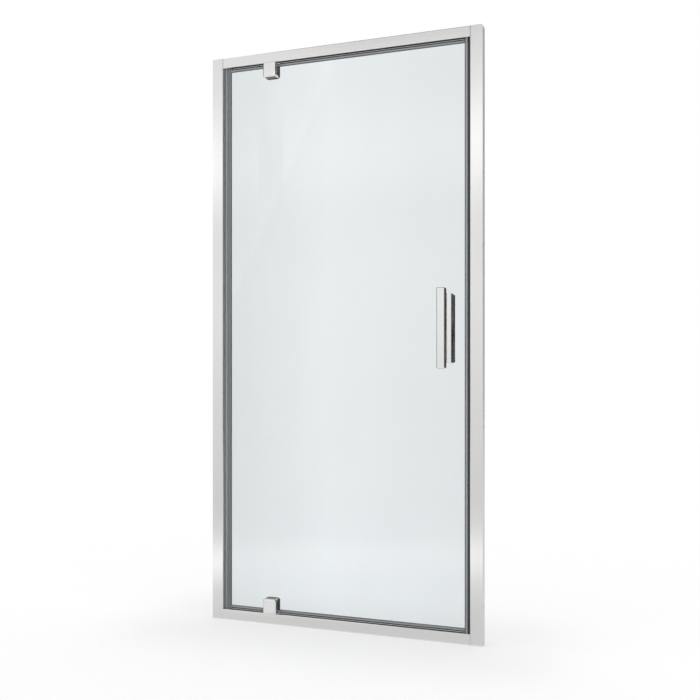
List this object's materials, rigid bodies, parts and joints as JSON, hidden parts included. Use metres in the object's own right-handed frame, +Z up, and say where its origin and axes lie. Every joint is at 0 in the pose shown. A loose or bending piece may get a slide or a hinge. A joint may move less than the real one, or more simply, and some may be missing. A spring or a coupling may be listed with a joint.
{
  "type": "pivot shower door",
  "caption": "Framed shower door for a recess: one glass leaf on an offset vertical pivot between clamp blocks, with edge seals and a bar handle.",
  "frame": {"origin": "middle of the bottom rail's underside, in the plane of the glass and on the pivot axis's depth", "axes": "+X to the right along the door as seen from the room, +Y from the room into the shower, +Z up"},
  "size_m": [0.9, 0.078, 1.85],
  "materials": {
    "silver_frame": "bright polished silver anodising",
    "mill_aluminium": "plain extruded aluminium",
    "bright_chrome": "polished chrome plate",
    "stainless_steel": "plain stainless steel",
    "clear_glass": "clear toughened glass, polished edges",
    "clear_vinyl": "translucent grey vinyl",
    "grey_plastic": "light grey moulded plastic",
    "white_nylon": "natural nylon",
    "dark_rubber": "dark gasket sheet",
    "magnet_strip": "flexible magnet strip"
  },
  "bodies": {
    "frame": {"left_post": "silver_frame", "right_post": "silver_frame", "top_rail": "silver_frame", "bottom_rail": "silver_frame", "left_wall_channel": "mill_aluminium", "right_wall_channel": "mill_aluminium", "left_post_cap": "grey_plastic", "right_post_cap": "grey_plastic", "corner_screws": "stainless_steel", "channel_screws": "stainless_steel", "channel_screw_covers": "grey_plastic", "top_pivot_bush": "white_nylon", "bottom_pivot_bush": "white_nylon", "pivot_thrust_disc": "stainless_steel", "strike_stop": "grey_plastic", "frame_magnet_strip": "magnet_strip"},
    "leaf": {"glass_panel": "clear_glass", "hinge_side_seal": "clear_vinyl", "strike_side_seal": "clear_vinyl", "door_magnet_strip": "magnet_strip", "top_seal_short": "clear_vinyl", "top_seal_long": "clear_vinyl", "bottom_seal_short": "clear_vinyl", "bottom_seal_long": "clear_vinyl", "handle_grip": "bright_chrome", "handle_base": "bright_chrome", "handle_inner_pull": "bright_chrome", "handle_gaskets": "clear_vinyl", "handle_sleeves": "white_nylon", "handle_bolts": "stainless_steel", "handle_bolt_caps": "bright_chrome", "top_hinge_block": "bright_chrome", "top_hinge_plate": "bright_chrome", "top_hinge_gaskets": "dark_rubber", "top_hinge_sleeves": "white_nylon", "top_hinge_screws": "stainless_steel", "top_pivot_pin": "stainless_steel", "bottom_hinge_block": "bright_chrome", "bottom_hinge_plate": "bright_chrome", "bottom_hinge_gaskets": "dark_rubber", "bottom_hinge_sleeves": "white_nylon", "bottom_hinge_screws": "stainless_steel", "bottom_pivot_pin": "stainless_steel"}
  },
  "joints": [
    {"name": "leaf_pivot", "type": "hinge", "parent": "frame", "child": "leaf", "pos_m": [-0.24, 0, 0.925], "axis": [0, 0, -1], "range_deg": [0, 100]}
  ]
}
